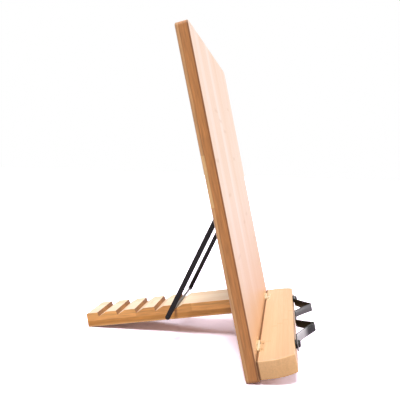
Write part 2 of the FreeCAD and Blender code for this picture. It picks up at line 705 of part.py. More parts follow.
def make_page_clip(side):
    """Bent strip: flat foot, long rise to the peak, short return and a flat tip."""
    word = "left" if side < 0 else "right"
    plate = size.clip_plate.value
    middle = size.face_clearance.value + plate / 2
    peak = middle + size.clip_rise.value
    bend = size.clip_bend.value + plate / 2
    over = size.clip_width.value
    points = [Vector(-size.clip_end.value - over, 0, middle), Vector(size.clip_foot.value, 0, middle),
              Vector(size.clip_peak.value, 0, peak), Vector(size.clip_return.value, 0, middle),
              Vector(size.clip_reach.value + over, 0, middle)]
    section = strip_section(points, bend, plate)
    section.translate(Vector(0, -over, 0))
    strip = section.extrude(Vector(0, 2 * over, 0))

    foot_half, tip_half = size.clip_width.value / 2, size.clip_tip_width.value / 2
    foot_x, tip_x = foot_half - size.clip_end.value, size.clip_reach.value - tip_half
    corners = [Vector(foot_x, -foot_half, 0), Vector(size.clip_peak.value, -foot_half, 0),
               Vector(tip_x, -tip_half, 0), Vector(tip_x, tip_half, 0),
               Vector(size.clip_peak.value, foot_half, 0), Vector(foot_x, foot_half, 0)]
    edges = [Part.LineSegment(corners[0], corners[1]).toShape(),
             Part.LineSegment(corners[1], corners[2]).toShape(),
             Part.Arc(corners[2], Vector(tip_x + tip_half, 0, 0), corners[3]).toShape(),
             Part.LineSegment(corners[3], corners[4]).toShape(),
             Part.LineSegment(corners[4], corners[5]).toShape(),
             Part.Arc(corners[5], Vector(foot_x - foot_half, 0, 0), corners[0]).toShape()]
    outline = Part.Face(Part.Wire(edges)).extrude(Vector(0, 0, peak + plate))
    hole_radius = (size.clip_screw_radius + size.fit_clearance).value
    hole = Part.makeCylinder(hole_radius, peak)
    clip = doc.addObject("Part::Feature", f"page_clip_{word}")
    clip.Shape = strip.common(outline).cut(hole).removeSplitter()
    return clip


def make_group(label, pattern, places):
    """Identical fasteners as separate solids in one piece list entry."""
    copies = [pattern.Shape.copy() for _ in places]
    for copy, place in zip(copies, places):
        copy.Placement = place
    group = doc.addObject("Part::Feature", label)
    group.Shape = Part.makeCompound(copies)
    return group


# Where the frames stand when the crossbar sits in its notch and the stand is on the floor
def turn(degrees):
    return Rotation(ACROSS, degrees)


def crossbar_seat():
    """Crossbar's centre in the leg's frame, tangent to the notch's wall and ramp."""
    wall = notch_wall(int(size.notch_used.value)).value
    root = Vector(0, wall - size.notch_lean.value, (leg_top - size.notch_depth).value)
    up_wall = Vector(0, size.notch_lean.value, size.notch_depth.value).normalize()
    up_ramp = Vector(0, size.notch_lean.value - size.notch_length.value, size.notch_depth.value)
    up_ramp.normalize()
    radius = size.crossbar_radius.value + size.seat_clearance.value
    return root + (up_wall + up_ramp) * (radius / up_wall.cross(up_ramp).Length)


def angle_of(vector):
    """Angle of a vector in the YZ plane, from +Y towards +Z."""
    return math.atan2(vector.z, vector.y)


hinge_point = Vector(0, leg_hinge.seat.value, size.leg_hinge_height.value)
pivot_point = Vector(0, size.pivot_offset.value, size.pivot_height.value)
seat_point = crossbar_seat()
hinge_to_pivot = pivot_point - hinge_point
near_side, far_side = seat_point.Length, hinge_to_pivot.Length
opening_cosine = (near_side ** 2 + far_side ** 2 - size.arm_length.value ** 2) / (2 * near_side * far_side)
leg_angle = angle_of(hinge_to_pivot) - math.acos(opening_cosine) - angle_of(seat_point)
leg_turn = turn(math.degrees(leg_angle))
crossbar_point = hinge_point + leg_turn.multVec(seat_point)
arm_angle = angle_of(pivot_point - crossbar_point) - math.pi / 2

board_contact = Vector(0, -size.board_round.value, size.board_round.value)
tail_contact = hinge_point + leg_turn.multVec(
    Vector(0, (size.leg_reach - size.leg_round).value, (leg_bottom + size.leg_round).value))
footing = tail_contact - board_contact
step = (size.leg_round.value - size.board_round.value) / footing.Length
lean_angle = math.acos(step) - math.atan2(footing.y, footing.z)
lean = turn(-math.degrees(lean_angle))

contact_height = lean.multVec(board_contact).z - size.board_round.value
board_frame = Placement(Vector(0, 0, -contact_height), lean)
leg_frame = board_frame * Placement(hinge_point, leg_turn)
prop_frame = board_frame * Placement(pivot_point, turn(math.degrees(arm_angle)))
ledge_axis = Vector(0, ledge_axis_y.value, ledge_axis_z.value)

ABOUT_FACE = Rotation(UPWARD, 180)
LEAF_ON_LEG = Rotation(Vector(0, 1, 1), 180)
LEAF_ON_LEDGE = Rotation(ACROSS, 90)
HEAD_TO_FRONT = Rotation(ACROSS, 90)
HEAD_TO_BACK = Rotation(ACROSS, -90)
STRIP_TO_RIGHT = Rotation(ACROSS, 90)
STRIP_TO_LEFT = Rotation(Vector(0, -1, 1), 180)


def clip_point(side, height):
    """Point on a clip's screw axis, at a height in front of the ledge."""
    return Vector((clip_place * side).value, (ledge_front - height).value,
                  (size.ledge_height - size.clip_drop).value)


def build_parts():
    """Makes every piece, in its place."""
    parts = []

    def place(piece, placement):
        piece.Placement = placement
        parts.append(piece)

    place(make_back_panel(), board_frame)
    place(make_ledge(), board_frame)
    place(make_support_leg(), leg_frame)
    place(make_leaf("leg_hinge_panel_leaf", leg_hinge, True, size.screw_radius, size.screw_head),
          board_frame * Placement(hinge_point, Rotation()))
    place(make_leaf("leg_hinge_leg_leaf", leg_hinge, False, size.screw_radius, size.screw_head),
          leg_frame * Placement(Vector(), LEAF_ON_LEG))
    place(make_hinge_pin("leg_hinge_pin", leg_hinge), board_frame * Placement(hinge_point, Rotation()))

    for side in LEAF_SIDES:
        word = "left" if side < 0 else "right"
        centre = ledge_axis + ACROSS * (ledge_hinge_place * side).value
        panel_leaf = make_leaf(f"ledge_hinge_{word}_panel_leaf", ledge_hinge, True,
                               size.small_screw_radius, size.small_screw_head)
        place(panel_leaf, board_frame * Placement(centre, ABOUT_FACE))
        ledge_leaf = make_leaf(f"ledge_hinge_{word}_ledge_leaf", ledge_hinge, False,
                               size.small_screw_radius, size.small_screw_head)
        place(ledge_leaf, board_frame * Placement(centre, LEAF_ON_LEDGE))
        place(make_hinge_pin(f"ledge_hinge_{word}_pin", ledge_hinge),
              board_frame * Placement(centre, Rotation()))
        place(make_prop_bracket(side), board_frame)
        place(make_pivot_rivet(side), board_frame * Placement(pivot_point, Rotation()))
        place(make_prop_arm(side), prop_frame)
        strip_turn = STRIP_TO_RIGHT if side < 0 else STRIP_TO_LEFT
        place(make_washer(side), board_frame * Placement(clip_point(side, size.washer_height), strip_turn))
        place(make_page_clip(side), board_frame * Placement(clip_point(side, size.washer_height), strip_turn))

    crossbar_at = Vector(0, 0, -size.arm_length.value)
    place(make_prop_crossbar(), prop_frame * Placement(crossbar_at, Rotation()))
    for group in screw_groups():
        parts.append(group)
    return parts


def screw_groups():
    """Makes the screws, each kind from one pattern."""
    screw = make_countersunk_screw("screw_pattern", size.screw_radius, size.screw_head, size.screw_length)
    small = make_countersunk_screw("small_screw_pattern", size.small_screw_radius,
                                   size.small_screw_head, size.small_screw_length)
    clip_screw = make_clip_screw_body()
    doc.recompute()

    leg_row = [x.value for x in spread_places(ZERO, leg_hinge.spread, leg_hinge.screws)]
    small_row = [x.value for side in LEAF_SIDES
                 for x in spread_places(ledge_hinge_place * side, ledge_hinge.spread, ledge_hinge.screws)]
    leaf_face = (leg_hinge.plate - leg_hinge.seat).value
    flush_face = ledge_hinge.plate - ledge_hinge.seat
    line, small_line = leg_hinge.screw_line.value, ledge_hinge.screw_line.value
    under_head = size.washer_height + size.clip_plate + size.face_clearance * 2

    on_board_back = [board_frame * Placement(hinge_point + Vector(x, leaf_face, line), HEAD_TO_BACK)
                     for x in leg_row]
    on_leg = [leg_frame * Placement(Vector(x, line, leaf_face), Rotation()) for x in leg_row]
    on_board_front = [board_frame * Placement(ledge_axis + Vector(x, -flush_face.value, small_line),
                                              HEAD_TO_FRONT) for x in small_row]
    on_ledge = [board_frame * Placement(ledge_axis + Vector(x, -small_line, flush_face.value), Rotation())
                for x in small_row]
    on_brackets = [board_frame * Placement(Vector(x.value, size.bracket_plate.value, z.value), HEAD_TO_BACK)
                   for side in LEAF_SIDES for x, z in bracket_screws(side)]
    groups = [
        make_group("leg_hinge_panel_screws", screw, on_board_back),
        make_group("leg_hinge_leg_screws", screw, on_leg),
        make_group("ledge_hinge_panel_screws", small, on_board_front),
        make_group("ledge_hinge_ledge_screws", small, on_ledge),
        make_group("prop_bracket_screws", screw, on_brackets),
    ]
    for side in LEAF_SIDES:
        word = "left" if side < 0 else "right"
        at_head = board_frame * Placement(clip_point(side, under_head), HEAD_TO_FRONT)
        groups.append(make_group(f"clip_screw_{word}", clip_screw, [at_head]))
    return groups


def centre_footprint(parts):
    """Moves the whole stand along Y until the origin is at the middle of its footprint."""
    boxes = [part.Shape.optimalBoundingBox() for part in parts]
    middle = (min(box.YMin for box in boxes) + max(box.YMax for box in boxes)) / 2
    shift = Placement(BACKWARD * -middle, Rotation())
    for part in parts:
        part.Placement = shift * part.Placement
    return middle


def check_document(parts):
    """Stops if an object failed or a piece isn't a sound solid."""
    doc.recompute()
    failed = [item.Label for item in doc.Objects if {"Invalid", "Error"} & set(item.State)]
    if failed:
        raise RuntimeError(f"failed objects: {failed}")
    for part in parts:
        if part.Shape.isNull() or not part.Shape.isValid() or not part.Shape.Solids:
            raise RuntimeError(f"unsound shape: {part.Label}")


def main():
    parts = build_parts()
    doc.recompute()
    middle = centre_footprint(parts)
    check_document(parts)
    os.makedirs("parts", exist_ok=True)
    for part in parts:
        part.Shape.exportStep(os.path.join("parts", f"{part.Label}.step"))
    print(f"{len(parts)} pieces, lean {math.degrees(lean_angle):.2f} degrees, shifted {-middle:.3f} mm")
    print(f"leg opens {90 - math.degrees(leg_angle):.2f} degrees from the board")


main()
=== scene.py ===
"""Looks of the folding bamboo book stand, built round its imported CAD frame."""
import logging
import math
from dataclasses import dataclass, field
from enum import Enum

import bmesh
import bpy
from bmesh.types import BMEdge, BMesh, BMVert
from bpy.types import Material, Node, NodeSocket, NodeTree, Object
from mathutils import Matrix, Vector


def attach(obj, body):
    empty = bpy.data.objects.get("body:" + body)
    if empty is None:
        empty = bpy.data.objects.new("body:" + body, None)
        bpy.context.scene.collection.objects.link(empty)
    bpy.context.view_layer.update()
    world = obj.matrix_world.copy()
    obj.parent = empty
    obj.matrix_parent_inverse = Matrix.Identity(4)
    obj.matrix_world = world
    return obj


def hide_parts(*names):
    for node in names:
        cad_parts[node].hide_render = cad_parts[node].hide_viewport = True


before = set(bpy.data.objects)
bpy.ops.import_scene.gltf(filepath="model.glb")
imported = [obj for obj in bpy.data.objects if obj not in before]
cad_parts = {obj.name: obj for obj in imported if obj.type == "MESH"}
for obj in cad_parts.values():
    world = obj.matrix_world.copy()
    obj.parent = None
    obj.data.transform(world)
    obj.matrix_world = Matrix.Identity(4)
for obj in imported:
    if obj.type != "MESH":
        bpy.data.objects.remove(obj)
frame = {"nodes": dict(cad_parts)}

logging.basicConfig(level=logging.INFO, format="%(name)s: %(message)s")
log = logging.getLogger("book_stand")

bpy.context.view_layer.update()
MM = 0.001

# Settings that many nodes share
SMOOTH = {"interpolation_type": "SMOOTHSTEP"}
COLOURS = {"data_type": "RGBA"}
MULTIPLY = {"operation": "MULTIPLY"}
MULTIPLY_ADD = {"operation": "MULTIPLY_ADD"}
# A mix node's sockets for colours and for plain values go by number, as their names repeat
FIRST, SECOND, MIXED = 6, 7, 2
FIRST_VALUE, SECOND_VALUE = 2, 3


# Helpers for every piece and finish
def linear(colour: str) -> tuple[float, float, float, float]:
    """Turns a written sRGB colour into the linear values that a shader takes.

    Args:
        colour: Six hex digits with a leading hash.
    Returns:
        Linear red, green, blue and an alpha of one.
    """
    parts = [int(colour[place:place + 2], 16) / 255 for place in (1, 3, 5)]
    red, green, blue = (p / 12.92 if p <= 0.04045 else ((p + 0.055) / 1.055) ** 2.4 for p in parts)
    return red, green, blue, 1.0


def add_node(tree: NodeTree, kind: str, settings: dict | None = None,
             inputs: dict | None = None) -> Node:
    """Adds a shader node, sets it up and links it.

    Args:
        tree: The node tree that the node goes in.
        kind: The node's type, as Blender names it.
        settings: Properties of the node itself.
        inputs: A value or an output socket for each input, by name or number.
    Returns:
        The new node.
    """
    node = tree.nodes.new(kind)
    for name, value in (settings or {}).items():
        setattr(node, name, value)
    for key, value in (inputs or {}).items():
        if isinstance(value, NodeSocket):
            tree.links.new(value, node.inputs[key])
        else:
            node.inputs[key].default_value = value
    return node


def new_material(name: str) -> tuple[Material, NodeTree]:
    """Makes an empty node material.

    Args:
        name: The material's own name.
    Returns:
        The material and its node tree.
    """
    material = bpy.data.materials.new(name)
    material.use_nodes = True
    material.node_tree.nodes.clear()
    return material, material.node_tree


def dress(name: str, material: Material) -> None:
    """Gives a CAD node its finish.

    Args:
        name: The CAD node's name.
        material: The finish.
    """
    node = frame["nodes"][name]
    if not node.material_slots:
        node.data.materials.append(material)
    for slot in node.material_slots:
        slot.material = material
    log.info("%s dressed in %s", name, material.name)


def finish_piece(work: BMesh, name: str, material: Material, body: str,
                 stands_for: tuple[str, ...], sharp: float = 35.0) -> Object:
    """Turns a bmesh into a finished piece that rides on its body.

    Args:
        work: The shape in the row frame, freed here.
        name: The piece's name.
        material: Its finish.
        body: The CAD body that it moves with.
        stands_for: The CAD nodes that it replaces.
        sharp: Edges that turn more than this many degrees stay crisp.
    Returns:
        The new object.
    """
    bmesh.ops.recalc_face_normals(work, faces=work.faces)
    mesh = bpy.data.meshes.new(name)
    work.to_mesh(mesh)
    work.free()
    mesh.shade_smooth()
    mesh.set_sharp_from_angle(angle=math.radians(sharp))
    mesh.materials.append(material)
    piece = bpy.data.objects.new(name, mesh)
    bpy.context.scene.collection.objects.link(piece)
    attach(piece, body)
    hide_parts(*stands_for)
    log.info("%s built with %d faces", name, len(mesh.polygons))
    return piece


def turned_profile(corners: list[tuple[float, float]], steps: int = 48) -> BMesh:
    """Spins a profile round the X axis into a closed shape.

    Args:
        corners: Places along the axis and radii in millimetres, from pole to pole.
        steps: Facets round the axis.
    Returns:
        The turned shape.
    """
    work = bmesh.new()
    points = [work.verts.new((along * MM, 0, radius * MM)) for along, radius in corners]
    edges = [work.edges.new(pair) for pair in zip(points, points[1:])]
    bmesh.ops.spin(work, geom=points + edges, cent=(0, 0, 0), axis=(1, 0, 0), dvec=(0, 0, 0),
                   angle=math.tau, steps=steps, use_merge=True, use_duplicate=False)
    bmesh.ops.remove_doubles(work, verts=work.verts, dist=1e-6)
    return work


def ease_rims(work: BMesh, width: float, segments: int, over: float = 40.0) -> None:
    """Rounds every edge of a shape that turns more than an angle.

    Args:
        work: The shape.
        width: Width of the rounding in millimetres.
        segments: Facets across the rounding.
        over: The least turn in degrees of an edge that is rounded.
    """
    bmesh.ops.recalc_face_normals(work, faces=work.faces)
    rims = [edge for edge in work.edges
            if len(edge.link_faces) == 2 and edge.calc_face_angle(0) > math.radians(over)]
    bmesh.ops.bevel(work, geom=rims, offset=width * MM, offset_type="OFFSET", segments=segments,
                    profile=0.5, affect="EDGES", clamp_overlap=True, material=-1)


# Where the stand's own frames lie in the row frame
@dataclass(frozen=True)
class Frame:
    """A frame turned about the X axis, with its origin in millimetres."""

    back: float
    up: float
    tilt: float

    def matrix(self) -> Matrix:
        """Gives the turn and the shift that place a shape made in this frame.

        Returns:
            The matrix to the row frame in metres.
        """
        place = Matrix.Translation((0, self.back * MM, self.up * MM))
        return place @ Matrix.Rotation(math.radians(self.tilt), 4, "X")


BOARD_FRAME = Frame(-68.581, -0.304, -13.268)
LEG_FRAME = Frame(-52.784, 55.356, -10.867)
PROP_FRAME = Frame(-27.624, 150.727, 24.130)


class Axis(Enum):
    """An axis of a piece's own frame."""

    ACROSS = 0
    BACKWARD = 1
    UPWARD = 2


# Finishes
def in_frame(tree: NodeTree, coord: Node, turned: Frame) -> NodeSocket:
    """Adds the place on a piece in millimetres of the piece's own frame.

    Args:
        tree: The material's tree.
        coord: Its texture coordinate node.
        turned: The piece's own frame.
    Returns:
        The place's socket.
    """
    local = add_node(tree, "ShaderNodeMapping", {"vector_type": "TEXTURE"}, {
        "Vector": coord.outputs["Object"],
        "Location": (0, turned.back * MM, turned.up * MM),
        "Rotation": (math.radians(turned.tilt), 0, 0),
        "Scale": (MM, MM, MM),
    })
    return local.outputs[0]


def stretched_noise(tree: NodeTree, place: NodeSocket, size: tuple[float, float, float],
                    detail: float, roughness: float) -> NodeSocket:
    """Adds noise whose marks have a real size.

    Args:
        tree: The material's tree.
        place: Place in millimetres.
        size: A mark's size along each axis in millimetres.
        detail: Octaves of finer noise.
        roughness: Share that each octave keeps.
    Returns:
        The noise value's socket.
    """
    scaled = add_node(tree, "ShaderNodeMapping", {}, {
        "Vector": place, "Scale": tuple(1 / length for length in size)})
    noise = add_node(tree, "ShaderNodeTexNoise", {}, {
        "Vector": scaled.outputs[0], "Scale": 1.0, "Detail": detail, "Roughness": roughness})
    return noise.outputs[0]


@dataclass(frozen=True)
class Cane:
    """Sockets that say where a point lies in the glued strips of cane."""

    along: NodeSocket
    side: NodeSocket
    layer: NodeSocket
    tone: NodeSocket
    own_place: NodeSocket
    grain: NodeSocket
    glue: NodeSocket


@dataclass(frozen=True)
class BambooFinish:
    """Laminated bamboo, planed, sanded and clear lacquered to a satin sheen.

    Strips of split cane are glued side by side, so each keeps its own tone, the cut edge shows the
    plies with their darker glue lines, and the cut ends show the dark dots of the fibre bundles.
    """

    name: str
    frame: Frame
    grain: Axis
    strips: Axis
    layers: Axis
    strip_width: float
    strip_start: float
    face_light: str
    face_dark: str
    # Lowest and highest place of the plies on the layers' axis, and their tones between the two
    depth: tuple[float, float]
    plies: tuple[tuple[float, str], ...]
    # The paler length of the outer ply: from, to, and the share of the depth where it starts
    pale_piece: tuple[float, float, float]
    pale_tone: str
    end_tone: str
    # How much of the end's tone shows between the fibre bundles and on them
    end_share: tuple[float, float] = (0.35, 0.7)
    knuckle_tone: str = "#C08A50"
    knuckle_share: float = 0.22
    knuckle_width: tuple[float, float] = (0.4, 3.0)
    glue_share: float = 0.16
    glue_width: tuple[float, float] = (0.05, 0.45)
    # Painted shade of a gap between parts: a dark band from this place on the strips' axis onwards
    gap_shade: float | None = None
    gap_shade_blur: float = 0.25
    gap_shade_tone: str = "#7A4C22"
    # Painted shade and warm bounce light, darker towards the foot of a piece: from, to and share
    foot: tuple[float, float, float] = (0.0, 1.0, 0.0)
    foot_shade_tone: str = "#DAA36B"
    knuckle_spacing: float = 260.0
    # Each strip takes its grain from a place of its own, up to this far along the cane
    strip_shift: float = 977.0
    cloud: tuple[float, float, float] = (150.0, 32.0, 32.0)
    streak: tuple[float, float, float] = (110.0, 2.6, 2.6)
    mottle: tuple[float, float, float] = (22.0, 2.0, 2.0)
    # Fibre bundles are 0.3 mm wide and are drawn at 0.55 mm, so that they show in the render
    fibre: tuple[float, float, float] = (26.0, 0.55, 0.55)
    bundle: float = 1.2
    edge_spread: float = 0.28
    # How squarely a surface turns to the layers to be a face, and to the grain to be an end
    face_turn: tuple[float, float] = (0.5, 0.88)
    end_turn: tuple[float, float] = (0.55, 0.9)
    roughness: tuple[float, float] = (0.40, 0.56)
    relief: float = 0.08

    def build(self) -> Material:
        """Makes the material.

        Returns:
            The bamboo material.
        """
        material, tree = new_material(self.name)
        coord = add_node(tree, "ShaderNodeTexCoord")
        cane = self.cane(tree, coord)
        facing = add_node(tree, "ShaderNodeVectorRotate", {"rotation_type": "X_AXIS"}, {
            "Vector": coord.outputs["Normal"], "Angle": -math.radians(self.frame.tilt)})
        sizes = add_node(tree, "ShaderNodeVectorMath", {"operation": "ABSOLUTE"},
                         {0: facing.outputs[0]})
        parts = add_node(tree, "ShaderNodeSeparateXYZ", {}, {0: sizes.outputs[0]})
        streaks = stretched_noise(tree, cane.grain, self.streak, 3.0, 0.6)
        fibres = stretched_noise(tree, cane.grain, self.fibre, 2.0, 0.5)
        knuckle = self.knuckle(tree, cane)
        face = self.face_colour(tree, cane, streaks, fibres, knuckle)
        edge = self.edge_colour(tree, cane, streaks, fibres)
        edge_share = add_node(tree, "ShaderNodeMapRange", SMOOTH, {
            "Value": parts.outputs[self.layers.value], "From Min": self.face_turn[0],
            "From Max": self.face_turn[1], "To Min": 1.0, "To Max": 0.0})
        sided = add_node(tree, "ShaderNodeMix", COLOURS, {
            "Factor": edge_share.outputs[0], FIRST: face, SECOND: edge})
        end_share = add_node(tree, "ShaderNodeMapRange", SMOOTH, {
            "Value": parts.outputs[self.grain.value], "From Min": self.end_turn[0],
            "From Max": self.end_turn[1]})
        end = self.end_colour(tree, cane, sided.outputs[MIXED])
        colour = add_node(tree, "ShaderNodeMix", COLOURS, {
            "Factor": end_share.outputs[0], FIRST: sided.outputs[MIXED], SECOND: end})
        # Painted shade of the gap, laid as a dark band along it
        if self.gap_shade is not None:
            in_gap_shade = add_node(tree, "ShaderNodeMapRange", SMOOTH, {
                "Value": cane.side, "From Min": self.gap_shade - self.gap_shade_blur,
                "From Max": self.gap_shade + self.gap_shade_blur})
            colour = add_node(tree, "ShaderNodeMix", COLOURS, {
                "Factor": in_gap_shade.outputs[0], FIRST: colour.outputs[MIXED],
                SECOND: linear(self.gap_shade_tone)})

        # Lacquer fills most of the grain, so the relief is slight
        roughness = add_node(tree, "ShaderNodeMapRange", {}, {
            "Value": fibres, "From Min": 0.25, "From Max": 0.75,
            "To Min": self.roughness[0], "To Max": self.roughness[1]})
        relief = add_node(tree, "ShaderNodeMath", MULTIPLY_ADD,
                          {0: cane.glue, 1: -0.9, 2: fibres})
        raised = add_node(tree, "ShaderNodeMath", MULTIPLY_ADD,
                          {0: knuckle, 1: 0.8, 2: relief.outputs[0]})
        bump = add_node(tree, "ShaderNodeBump", {}, {
            "Height": raised.outputs[0], "Strength": 0.3, "Distance": self.relief * MM})
        shader = add_node(tree, "ShaderNodeBsdfPrincipled", {}, {
            "Base Color": colour.outputs[MIXED], "Roughness": roughness.outputs[0],
            "Normal": bump.outputs[0], "IOR": 1.5, "Coat Weight": 0.1, "Coat Roughness": 0.35})
        add_node(tree, "ShaderNodeOutputMaterial", {}, {"Surface": shader.outputs[0]})
        return material

    def cane(self, tree: NodeTree, coord: Node) -> Cane:
        """Numbers the strips and finds each point's place in its strip.

        Args:
            tree: The material's tree.
            coord: Its texture coordinate node.
        Returns:
            The sockets of the strips.
        """
        place = add_node(tree, "ShaderNodeSeparateXYZ", {}, {0: in_frame(tree, coord, self.frame)})
        along, side, layer = (place.outputs[axis.value]
                              for axis in (self.grain, self.strips, self.layers))
        from_first = add_node(tree, "ShaderNodeMath", {"operation": "SUBTRACT"},
                              {0: side, 1: self.strip_start})
        count = add_node(tree, "ShaderNodeMath", {"operation": "DIVIDE"},
                         {0: from_first.outputs[0], 1: self.strip_width})
        number = add_node(tree, "ShaderNodeMath", {"operation": "FLOOR"}, {0: count.outputs[0]})
        chance = add_node(tree, "ShaderNodeTexWhiteNoise", {"noise_dimensions": "1D"},
                          {"W": number.outputs[0]})
        own_place = add_node(tree, "ShaderNodeMath", MULTIPLY_ADD,
                             {0: chance.outputs["Value"], 1: self.strip_shift, 2: along})
        grain = add_node(tree, "ShaderNodeCombineXYZ", {},
                         {"X": own_place.outputs[0], "Y": side, "Z": layer})
        glue_distance = add_node(tree, "ShaderNodeMath", {"operation": "PINGPONG"},
                                 {0: from_first.outputs[0], 1: self.strip_width / 2})
        glue = add_node(tree, "ShaderNodeMapRange", SMOOTH, {
            "Value": glue_distance.outputs[0], "From Min": self.glue_width[0],
            "From Max": self.glue_width[1], "To Min": 1.0, "To Max": 0.0})
        return Cane(along, side, layer, chance.outputs["Value"], own_place.outputs[0],
                    grain.outputs[0], glue.outputs[0])

    def knuckle(self, tree: NodeTree, cane: Cane) -> NodeSocket:
        """Marks the cane's knuckles, which cross a strip as narrow bands.

        Args:
            tree: The material's tree.
            cane: The strips.
        Returns:
            A socket that is one on a knuckle.
        """
        distance = add_node(tree, "ShaderNodeMath", {"operation": "PINGPONG"},
                            {0: cane.own_place, 1: self.knuckle_spacing / 2})
        band = add_node(tree, "ShaderNodeMapRange", SMOOTH, {
            "Value": distance.outputs[0], "From Min": self.knuckle_width[0],
            "From Max": self.knuckle_width[1], "To Min": 1.0, "To Max": 0.0})
        return band.outputs[0]

    def face_colour(self, tree: NodeTree, cane: Cane, streaks: NodeSocket, fibres: NodeSocket,
                    knuckle: NodeSocket) -> NodeSocket:
        """Colours a planed face: strips, clouds, streaks and fibres, with knuckles and glue lines.

        Args:
            tree: The material's tree.
            cane: The strips.
            streaks: Broad streaks along the cane.
            fibres: Fine fibres along the cane.
            knuckle: One on a knuckle.
        Returns:
            The colour's socket.
        """
        clouds = stretched_noise(tree, cane.grain, self.cloud, 2.0, 0.5)
        shade = cane.tone
        for part, kept, share in ((streaks, 0.36, 0.42), (clouds, 1.0, 0.34), (fibres, 1.0, 0.2)):
            level = add_node(tree, "ShaderNodeMath", MULTIPLY, {0: shade, 1: kept})
            shade = add_node(tree, "ShaderNodeMath", MULTIPLY_ADD,
                             {0: part, 1: share, 2: level.outputs[0]}).outputs[0]
        spread = add_node(tree, "ShaderNodeMapRange", {}, {
            "Value": shade, "From Min": 0.4, "From Max": 0.95})
        face = add_node(tree, "ShaderNodeMix", COLOURS, {
            "Factor": spread.outputs[0], FIRST: linear(self.face_light), SECOND: linear(self.face_dark)})
        # Painted shade and painted warm bounce light, deeper towards the foot
        top, low, deepest_shade = self.foot
        foot_shade = add_node(tree, "ShaderNodeMapRange", SMOOTH, {
            "Value": cane.along, "From Min": low, "From Max": top, "To Min": deepest_shade, "To Max": 0.0})
        face = add_node(tree, "ShaderNodeMix", COLOURS, {
            "Factor": foot_shade.outputs[0], FIRST: face.outputs[MIXED], SECOND: linear(self.foot_shade_tone)})
        for mark, share in ((knuckle, self.knuckle_share), (cane.glue, self.glue_share)):
            level = add_node(tree, "ShaderNodeMath", MULTIPLY, {0: mark, 1: share})
            face = add_node(tree, "ShaderNodeMix", COLOURS, {
                "Factor": level.outputs[0], FIRST: face.outputs[MIXED], SECOND: linear(self.knuckle_tone)})
        return face.outputs[MIXED]

    def edge_colour(self, tree: NodeTree, cane: Cane, streaks: NodeSocket,
                    fibres: NodeSocket) -> NodeSocket:
        """Colours a cut edge: the plies through the thickness, mottled along the grain.

        Args:
            tree: The material's tree.
            cane: The strips.
            streaks: Broad streaks along the cane.
            fibres: Fine fibres along the cane.
        Returns:
            The colour's socket.
        """
        depth = add_node(tree, "ShaderNodeMapRange", {}, {
            "Value": cane.layer, "From Min": self.depth[0], "From Max": self.depth[1]})
        plies = add_node(tree, "ShaderNodeValToRGB", {}, {0: depth.outputs[0]})
        stops = plies.color_ramp.elements
        for index, (position, colour) in enumerate(self.plies):
            stop = stops[index] if index < 2 else stops.new(position)
            stop.position = position
            stop.color = linear(colour)

        # One length of the outer ply is a paler cane
        first, last, inner = self.pale_piece
        pale = 1.0
        for value, low, high in ((cane.along, first, first + 0.6), (cane.along, last, last - 0.6),
                                 (depth.outputs[0], inner, inner + 0.06)):
            inside = add_node(tree, "ShaderNodeMapRange", {}, {
                "Value": value, "From Min": low, "From Max": high})
            pale = add_node(tree, "ShaderNodeMath", MULTIPLY,
                            {0: inside.outputs[0], 1: pale}).outputs[0]
        pieced = add_node(tree, "ShaderNodeMix", COLOURS, {
            "Factor": pale, FIRST: plies.outputs[0], SECOND: linear(self.pale_tone)})

        shade = stretched_noise(tree, cane.grain, self.mottle, 3.0, 0.6)
        for part, share in ((streaks, 0.5), (fibres, 0.35)):
            shade = add_node(tree, "ShaderNodeMath", MULTIPLY_ADD,
                             {0: part, 1: share, 2: shade}).outputs[0]
        level = add_node(tree, "ShaderNodeMapRange", {}, {
            "Value": shade, "From Min": 0.65, "From Max": 1.2,
            "To Min": 1.0 + self.edge_spread, "To Max": 1.0 - self.edge_spread})
        edge = add_node(tree, "ShaderNodeVectorMath", {"operation": "SCALE"},
                        {0: pieced.outputs[MIXED], "Scale": level.outputs[0]})
        return edge.outputs[0]

    def end_colour(self, tree: NodeTree, cane: Cane, sided: NodeSocket) -> NodeSocket:
        """Colours a cut end: a darker tone in each strip, with the dots of the fibre bundles.

        Args:
            tree: The material's tree.
            cane: The strips.
            sided: The colour without end grain.
        Returns:
            The colour's socket.
        """
        cells = add_node(tree, "ShaderNodeMapping", {}, {
            "Vector": cane.grain, "Scale": (0.02, 1 / self.bundle, 1 / self.bundle)})
        dots = add_node(tree, "ShaderNodeTexVoronoi", {}, {
            "Vector": cells.outputs[0], "Scale": 1.0, "Randomness": 0.9})
        least, most = self.end_share
        dotted = add_node(tree, "ShaderNodeMapRange", SMOOTH, {
            "Value": dots.outputs["Distance"], "From Min": 0.12, "From Max": 0.45,
            "To Min": most, "To Max": least})
        own = add_node(tree, "ShaderNodeMath", {"operation": "MULTIPLY_ADD", "use_clamp": True},
                       {0: cane.tone, 1: 0.25, 2: dotted.outputs[0]})
        end = add_node(tree, "ShaderNodeMix", COLOURS, {
            "Factor": own.outputs[0], FIRST: sided, SECOND: linear(self.end_tone)})
        return end.outputs[MIXED]


